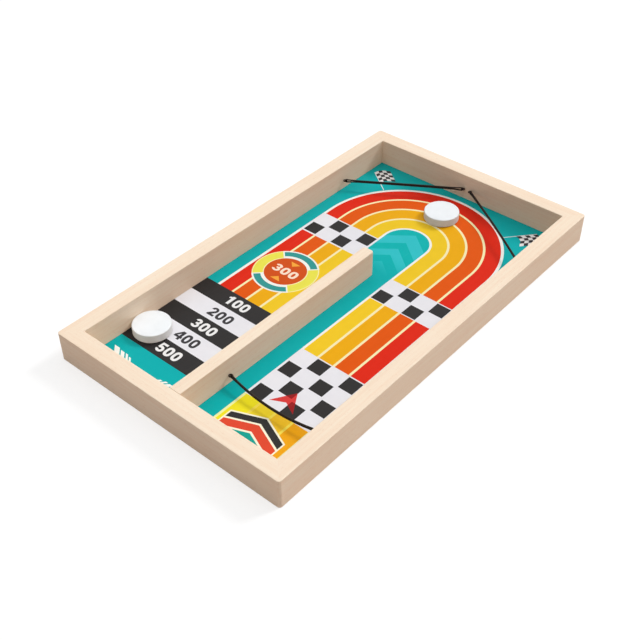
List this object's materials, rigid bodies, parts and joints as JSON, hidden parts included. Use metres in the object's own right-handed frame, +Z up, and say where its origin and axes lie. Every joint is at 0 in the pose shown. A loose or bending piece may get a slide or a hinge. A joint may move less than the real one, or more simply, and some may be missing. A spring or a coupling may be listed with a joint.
{
  "type": "catapult board game",
  "caption": "Shallow wooden tray game with a lane divider, a printed race-track board, elastic catapults at the lane end and far corners, and sliding pucks.",
  "frame": {"origin": "middle of the tray's underside", "axes": "+Z up out of the tray; +Y from the player's end to the far end; +X from the scoring lane to the launch lane"},
  "size_m": [0.3, 0.525, 0.035],
  "materials": {
    "pale_wood": "planed and sanded, thin matt lacquer",
    "plywood": "raw thin plywood",
    "beech": "raw",
    "printed_film": "printed film, satin",
    "zinc_steel": "zinc plated",
    "dark_bronze": "dark bronzed",
    "black_elastic": "covered elastic cord",
    "white_lacquer": "white lacquer, satin"
  },
  "bodies": {
    "tray": {"front_rail": "pale_wood", "back_rail": "pale_wood", "left_rail": "pale_wood", "right_rail": "pale_wood", "lane_divider": "pale_wood", "base_board": "plywood", "playfield_sheet": "printed_film", "corner_dowel_front_left_low": "beech", "corner_dowel_front_left_high": "beech", "corner_dowel_front_right_low": "beech", "corner_dowel_front_right_high": "beech", "corner_dowel_back_left_low": "beech", "corner_dowel_back_left_high": "beech", "corner_dowel_back_right_low": "beech", "corner_dowel_back_right_high": "beech", "divider_dowel_low": "beech", "divider_dowel_high": "beech", "board_screw_01": "zinc_steel", "board_screw_02": "zinc_steel", "board_screw_03": "zinc_steel", "board_screw_04": "zinc_steel", "board_screw_05": "zinc_steel", "board_screw_06": "zinc_steel", "board_screw_07": "zinc_steel", "board_screw_08": "zinc_steel", "board_screw_09": "zinc_steel", "board_screw_10": "zinc_steel", "board_screw_11": "zinc_steel", "board_screw_12": "zinc_steel", "divider_screw_1": "zinc_steel", "divider_screw_2": "zinc_steel", "divider_screw_3": "zinc_steel", "catapult_eye_left": "dark_bronze", "catapult_eye_right": "dark_bronze", "left_corner_eye_side": "dark_bronze", "left_corner_eye_back": "dark_bronze", "right_corner_eye_side": "dark_bronze", "right_corner_eye_back": "dark_bronze"},
    "score_puck": {"score_puck": "white_lacquer"},
    "curve_puck": {"curve_puck": "white_lacquer"},
    "catapult_elastic": {"catapult_elastic": "black_elastic"},
    "left_corner_elastic": {"left_corner_elastic": "black_elastic"},
    "right_corner_elastic": {"right_corner_elastic": "black_elastic"}
  },
  "joints": [
    {"name": "score_puck_slide", "type": "slide", "parent": "tray", "child": "score_puck", "axis": [0, 1, 0], "range_m": [-0.0458, 0.235]},
    {"name": "curve_puck_run", "type": "hinge", "parent": "tray", "child": "curve_puck", "pos_m": [0, 0.1194, 0.0033], "axis": [0, 0, 1], "range_deg": [-90, 90]},
    {"name": "catapult_draw", "type": "slide", "parent": "tray", "child": "catapult_elastic", "axis": [0, -1, 0], "range_m": [0, 0.045], "stiffness_N_per_m": 30, "deforming": ["catapult_elastic"]},
    {"name": "left_corner_give", "type": "slide", "parent": "tray", "child": "left_corner_elastic", "axis": [-0.5184, 0.8551, 0], "range_m": [0, 0.015], "stiffness_N_per_m": 25, "deforming": ["left_corner_elastic"]},
    {"name": "right_corner_give", "type": "slide", "parent": "tray", "child": "right_corner_elastic", "axis": [0.5634, 0.8262, 0], "range_m": [0, 0.015], "stiffness_N_per_m": 25, "deforming": ["right_corner_elastic"]}
  ]
}
